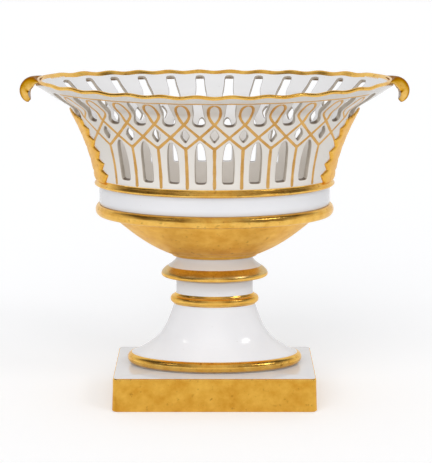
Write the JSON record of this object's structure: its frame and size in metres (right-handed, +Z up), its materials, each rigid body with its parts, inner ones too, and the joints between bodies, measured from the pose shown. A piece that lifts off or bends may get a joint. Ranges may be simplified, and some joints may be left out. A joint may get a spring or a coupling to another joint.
{
  "type": "pierced porcelain basket on pedestal",
  "caption": "Oval pierced porcelain basket with rolled end handles, on a trumpet pedestal and an oblong plinth, with gilding; a table planter or fruit centrepiece.",
  "frame": {"origin": "middle of the plinth's underside", "axes": "+X along the basket's length towards the right handle, +Y to the back, +Z up"},
  "size_m": [0.2714, 0.1836, 0.2285],
  "materials": {
    "glazed_porcelain": "clear glossy glaze over white hard-paste porcelain",
    "matt_gilding": "brushed gold on porcelain, softly burnished",
    "bright_gilding": "burnished gold on porcelain, mirror bright",
    "brass": "turned and lightly tarnished",
    "leather": "cut washers, matt"
  },
  "bodies": {
    "root": {"plinth": "matt_gilding", "foot_gasket": "leather", "pedestal": "glazed_porcelain", "seat_gasket": "leather", "collar_knop": "glazed_porcelain", "bowl_pan": "matt_gilding", "basket_wall": "glazed_porcelain", "leaf_left": "matt_gilding", "leaf_right": "matt_gilding", "handle_left": "bright_gilding", "handle_right": "bright_gilding", "top_gasket": "leather", "top_washer": "brass", "tie_bolt": "brass", "lower_gasket": "leather", "lower_washer": "brass", "nut": "brass"}
  },
  "joints": []
}
